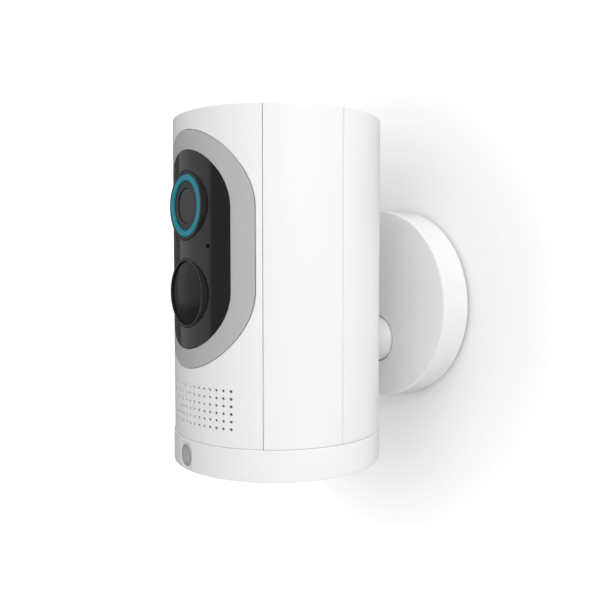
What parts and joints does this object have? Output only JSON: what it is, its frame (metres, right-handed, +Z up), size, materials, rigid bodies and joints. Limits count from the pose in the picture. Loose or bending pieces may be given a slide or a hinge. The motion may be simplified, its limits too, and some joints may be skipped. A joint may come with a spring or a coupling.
{
  "type": "baby monitor camera",
  "caption": "Upright drum-shaped wireless camera with a lens, motion sensor and speaker grille, held by a ball joint on a round wall plate.",
  "frame": {"origin": "centre of the wall plate's back, in the plane of the wall", "axes": "+Y into the wall, +Z up, the camera faces -Y"},
  "size_m": [0.0606, 0.0807, 0.0975],
  "materials": {
    "white_shell": "fine matt moulded white ABS",
    "grey_trim": "matt grey moulded plastic",
    "black_window": "glossy black, infrared-clear polycarbonate",
    "black_trim": "glossy black moulded plastic",
    "teal_ring": "glossy translucent teal light guide",
    "lens_glass": "coated optical glass",
    "pir_lens": "glossy dark polyethylene",
    "white_ball": "smooth moulded white plastic",
    "grey_rubber": "grey silicone rubber",
    "black_rubber": "black silicone rubber",
    "dark_frame": "dark moulded plastic inside the casing",
    "circuit_board": "green solder mask on fibreglass board",
    "plated_steel": "zinc or nickel plated steel",
    "brass": "turned brass",
    "cell_wrap": "steel can in blue plastic wrap; aluminium's density is close to a cell's",
    "contact": "spring brass, plated",
    "badge_grey": "light grey satin plastic"
  },
  "bodies": {
    "wall_mount": {"wall_cover": "white_shell", "wall_bracket": "plated_steel", "ball_socket": "dark_frame", "socket_screws": "plated_steel"},
    "ring": {"friction_ring": "dark_frame"},
    "ball": {"mount_ball": "white_ball", "mount_stud": "plated_steel"},
    "head": {"front_shell": "white_shell", "side_panel_left": "white_shell", "side_panel_right": "white_shell", "rear_shell": "white_shell", "top_cap": "white_shell", "base_band": "white_shell", "bottom_cap": "white_shell", "front_badge": "badge_grey", "bottom_screws": "plated_steel", "bezel_trim": "grey_trim", "face_window": "black_window", "lens_turret": "black_trim", "status_ring": "teal_ring", "lens_window": "lens_glass", "lens_barrel": "black_trim", "lens_element": "lens_glass", "lens_holder": "dark_frame", "ir_filter": "lens_glass", "image_sensor": "black_trim", "camera_board": "circuit_board", "pir_bezel": "black_trim", "pir_dome": "pir_lens", "pir_sensor": "plated_steel", "pir_board": "circuit_board", "infrared_leds": "lens_glass", "mic_boot": "black_rubber", "microphone": "plated_steel", "speaker": "plated_steel", "speaker_gasket": "black_rubber", "chassis_sleeve": "dark_frame", "mount_block": "dark_frame", "threaded_insert": "brass", "seal_ring_bottom": "black_rubber", "seal_ring_top": "black_rubber", "main_board": "circuit_board", "rf_shield": "plated_steel", "antenna": "circuit_board", "port_board": "circuit_board", "usb_socket": "plated_steel", "power_switch": "dark_frame", "reset_switch": "dark_frame", "card_slot": "plated_steel", "battery_cell_left": "cell_wrap", "battery_cell_right": "cell_wrap", "battery_cradle": "dark_frame", "battery_contacts": "contact"},
    "power_button": {"power_button": "grey_rubber"},
    "reset_button": {"reset_button": "white_shell"},
    "port_cover": {"port_cover": "grey_rubber"}
  },
  "joints": [
    {"name": "pan", "type": "hinge", "parent": "wall_mount", "child": "ring", "pos_m": [0, -0.0079, -0.0114], "axis": [0, 0, 1], "range_deg": [-25, 25]},
    {"name": "tilt", "type": "hinge", "parent": "ring", "child": "ball", "pos_m": [0, -0.0079, -0.0114], "axis": [1, 0, 0], "range_deg": [-7, 18]},
    {"name": "roll", "type": "hinge", "parent": "ball", "child": "head", "pos_m": [0, -0.0079, -0.0114], "axis": [0, -1, 0], "range_deg": [-10, 10]},
    {"name": "power_press", "type": "slide", "parent": "head", "child": "power_button", "axis": [0, 0, 1], "range_m": [0, 0.0008], "stiffness_N_per_m": 1000},
    {"name": "reset_press", "type": "slide", "parent": "head", "child": "reset_button", "axis": [0, 0, 1], "range_m": [0, 0.0005], "stiffness_N_per_m": 800},
    {"name": "flap_hinge", "type": "hinge", "parent": "head", "child": "port_cover", "pos_m": [0, -0.0361, -0.0432], "axis": [1, 0, 0], "range_deg": [0, 110]}
  ]
}
